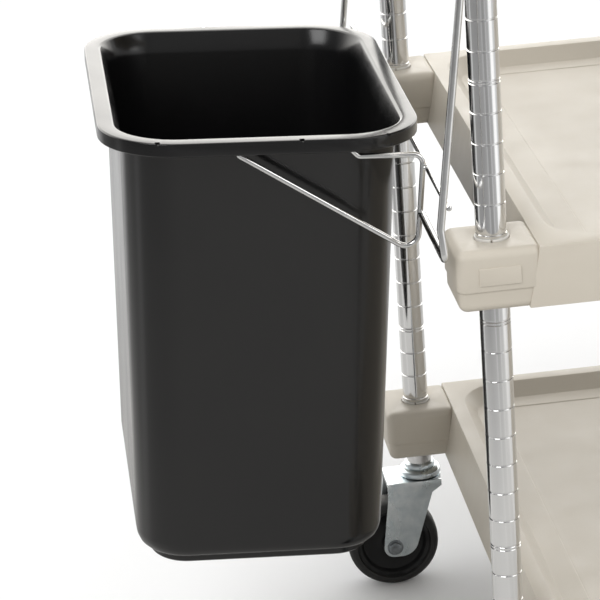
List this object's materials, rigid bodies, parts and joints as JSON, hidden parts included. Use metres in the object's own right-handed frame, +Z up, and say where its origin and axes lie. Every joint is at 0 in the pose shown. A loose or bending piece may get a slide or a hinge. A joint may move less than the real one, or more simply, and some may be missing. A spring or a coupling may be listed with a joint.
{
  "type": "housekeeping cart",
  "caption": "Housekeeping cart with moulded tray shelves on grooved chrome posts, swivel casters and a black waste bin hung from a wire holder at one end.",
  "frame": {"origin": "floor level, under the middle of the whole object's box, bin and rod ends included", "axes": "+X along the cart away from the bin, +Y to the rear, +Z up"},
  "size_m": [1.102, 0.5936, 0.9326],
  "materials": {
    "shelf_plastic": "moulded taupe polymer, light texture",
    "post_chrome": "bright chrome plate",
    "cap_plastic": "satin moulded plastic",
    "sleeve_plastic": "satin moulded plastic",
    "caster_zinc": "bright zinc plate",
    "bolt_zinc": "zinc plated steel",
    "wheel_plastic": "satin black plastic",
    "tyre_rubber": "black rubber",
    "wire_chrome": "bright chrome plate",
    "bin_plastic": "black moulded plastic, gloss rim and satin body"
  },
  "bodies": {
    "frame": {"shelf_bottom": "shelf_plastic", "shelf_middle": "shelf_plastic", "shelf_top": "shelf_plastic", "post_front_left": "post_chrome", "post_front_right": "post_chrome", "post_rear_left": "post_chrome", "post_rear_right": "post_chrome", "cap_front_left": "cap_plastic", "cap_front_right": "cap_plastic", "cap_rear_left": "cap_plastic", "cap_rear_right": "cap_plastic", "sleeve_bottom_front_left": "sleeve_plastic", "sleeve_bottom_front_right": "sleeve_plastic", "sleeve_bottom_rear_left": "sleeve_plastic", "sleeve_bottom_rear_right": "sleeve_plastic", "sleeve_middle_front_left": "sleeve_plastic", "sleeve_middle_front_right": "sleeve_plastic", "sleeve_middle_rear_left": "sleeve_plastic", "sleeve_middle_rear_right": "sleeve_plastic", "sleeve_top_front_left": "sleeve_plastic", "sleeve_top_front_right": "sleeve_plastic", "sleeve_top_rear_left": "sleeve_plastic", "sleeve_top_rear_right": "sleeve_plastic", "stem_front_left": "caster_zinc", "stem_front_right": "caster_zinc", "stem_rear_left": "caster_zinc", "stem_rear_right": "caster_zinc"},
    "caster_front_left": {"fork_front_left": "caster_zinc", "axle_front_left": "bolt_zinc", "nut_front_left": "bolt_zinc"},
    "roller_front_left": {"wheel_front_left": "wheel_plastic", "tyre_front_left": "tyre_rubber"},
    "caster_front_right": {"fork_front_right": "caster_zinc", "axle_front_right": "bolt_zinc", "nut_front_right": "bolt_zinc"},
    "roller_front_right": {"wheel_front_right": "wheel_plastic", "tyre_front_right": "tyre_rubber"},
    "caster_rear_left": {"fork_rear_left": "caster_zinc", "axle_rear_left": "bolt_zinc", "nut_rear_left": "bolt_zinc"},
    "roller_rear_left": {"wheel_rear_left": "wheel_plastic", "tyre_rear_left": "tyre_rubber"},
    "caster_rear_right": {"fork_rear_right": "caster_zinc", "axle_rear_right": "bolt_zinc", "nut_rear_right": "bolt_zinc"},
    "roller_rear_right": {"wheel_rear_right": "wheel_plastic", "tyre_rear_right": "tyre_rubber"},
    "holder": {"holder_hanger_front": "wire_chrome", "holder_hanger_rear": "wire_chrome", "holder_arm_front": "wire_chrome", "holder_arm_rear": "wire_chrome", "holder_cross_rod": "wire_chrome"},
    "waste_bin": {"bin": "bin_plastic"}
  },
  "joints": [
    {"name": "swivel_front_left", "type": "hinge", "parent": "frame", "child": "caster_front_left", "pos_m": [-0.246, -0.254, 0.117], "axis": [0, 0, 1], "continuous": true},
    {"name": "roll_front_left", "type": "hinge", "parent": "caster_front_left", "child": "roller_front_left", "pos_m": [-0.279, -0.254, 0.0475], "axis": [0, 1, 0], "continuous": true},
    {"name": "swivel_front_right", "type": "hinge", "parent": "frame", "child": "caster_front_right", "pos_m": [0.516, -0.254, 0.117], "axis": [0, 0, 1], "continuous": true},
    {"name": "roll_front_right", "type": "hinge", "parent": "caster_front_right", "child": "roller_front_right", "pos_m": [0.483, -0.254, 0.0475], "axis": [0, 1, 0], "continuous": true},
    {"name": "swivel_rear_left", "type": "hinge", "parent": "frame", "child": "caster_rear_left", "pos_m": [-0.246, 0.254, 0.117], "axis": [0, 0, 1], "continuous": true},
    {"name": "roll_rear_left", "type": "hinge", "parent": "caster_rear_left", "child": "roller_rear_left", "pos_m": [-0.279, 0.254, 0.0475], "axis": [0, 1, 0], "continuous": true},
    {"name": "swivel_rear_right", "type": "hinge", "parent": "frame", "child": "caster_rear_right", "pos_m": [0.516, 0.254, 0.117], "axis": [0, 0, 1], "continuous": true},
    {"name": "roll_rear_right", "type": "hinge", "parent": "caster_rear_right", "child": "roller_rear_right", "pos_m": [0.483, 0.254, 0.0475], "axis": [0, 1, 0], "continuous": true},
    {"name": "holder_lift", "type": "slide", "parent": "frame", "child": "holder", "axis": [0, 0, 1], "range_m": [0, 0.06]},
    {"name": "bin_lift", "type": "slide", "parent": "holder", "child": "waste_bin", "axis": [0, 0, 1], "range_m": [0, 0.4]}
  ]
}
